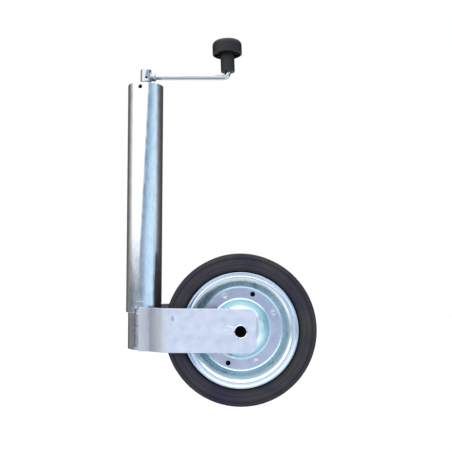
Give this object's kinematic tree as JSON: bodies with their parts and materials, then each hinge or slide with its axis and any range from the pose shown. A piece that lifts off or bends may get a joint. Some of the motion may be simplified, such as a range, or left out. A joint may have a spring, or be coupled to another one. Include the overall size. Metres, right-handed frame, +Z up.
{
  "type": "trailer jockey wheel",
  "caption": "Clamp-type trailer jack: a smooth tube with a crank screw, a telescopic inner tube, a two-arm fork and a steel disc wheel with a solid rubber tyre.",
  "frame": {"origin": "on the axis of the mast tube, at the middle of the length that the clamp grips", "axes": "+Z up along the mast; +X from the mast to the wheel; -Y is the near side; the jack is fully wound up"},
  "size_m": [0.2569, 0.074, 0.4963],
  "materials": {
    "zinc_plate": "blue-passivated zinc, satin",
    "bright_zinc": "bright zinc plate",
    "blue_zinc": "blue-passivated zinc on pressed sheet, glossy",
    "oiled_steel": "oiled bare steel",
    "tyre_rubber": "matt solid rubber",
    "knob_plastic": "fine-grained moulded plastic",
    "bush_nylon": "natural nylon"
  },
  "bodies": {
    "mast": {"outer_tube": "zinc_plate", "top_plug": "oiled_steel", "plug_pin_near": "oiled_steel", "plug_pin_far": "oiled_steel", "bearing_race_upper": "oiled_steel"},
    "screw": {"spindle": "bright_zinc", "bearing_race_lower": "oiled_steel", "stop_washer": "zinc_plate", "stop_pin": "oiled_steel", "crank_hub": "bright_zinc", "crank_pin": "oiled_steel", "crank_weld": "bright_zinc", "crank_arm": "bright_zinc", "knob_retainer": "oiled_steel"},
    "bearing_cage": {"ball_cage": "oiled_steel", "ball_1": "oiled_steel", "ball_2": "oiled_steel", "ball_3": "oiled_steel", "ball_4": "oiled_steel", "ball_5": "oiled_steel", "ball_6": "oiled_steel", "ball_7": "oiled_steel", "ball_8": "oiled_steel"},
    "knob_grip": {"knob": "knob_plastic"},
    "fork": {"inner_tube": "zinc_plate", "spindle_nut": "oiled_steel", "fork_arm_near": "zinc_plate", "fork_arm_far": "zinc_plate", "weld_rear_near": "zinc_plate", "weld_rear_far": "zinc_plate", "weld_front_near": "zinc_plate", "weld_front_far": "zinc_plate", "axle": "zinc_plate", "axle_spacer_near": "zinc_plate", "axle_spacer_far": "zinc_plate"},
    "wheel": {"rim_near": "blue_zinc", "rim_far": "blue_zinc", "hub_tube": "zinc_plate", "hub_bush_near": "bush_nylon", "hub_bush_far": "bush_nylon", "tyre": "tyre_rubber"}
  },
  "joints": [
    {"name": "crank_turn", "type": "hinge", "parent": "mast", "child": "screw", "pos_m": [0, 0, 0.1437], "axis": [0, 0, -1], "range_deg": [0, 16200]},
    {"name": "jack_slide", "type": "slide", "parent": "mast", "child": "fork", "axis": [0, 0, -1], "range_m": [0, 0.18]},
    {"name": "cage_turn", "type": "hinge", "parent": "mast", "child": "bearing_cage", "pos_m": [0, 0, 0.1062], "axis": [0, 0, -1], "range_deg": [0, 8100]},
    {"name": "knob_spin", "type": "hinge", "parent": "screw", "child": "knob_grip", "pos_m": [0.1133, 0, 0.1511], "axis": [-0.0384, 0, 0.9993], "continuous": true},
    {"name": "wheel_spin", "type": "hinge", "parent": "fork", "child": "wheel", "pos_m": [0.1318, 0, -0.2], "axis": [0, 1, 0], "continuous": true}
  ],
  "couplings": [
    {"joint": "jack_slide", "follows": "crank_turn", "m_per_rad": 0.0006366},
    {"joint": "cage_turn", "follows": "crank_turn", "ratio": 0.5}
  ]
}
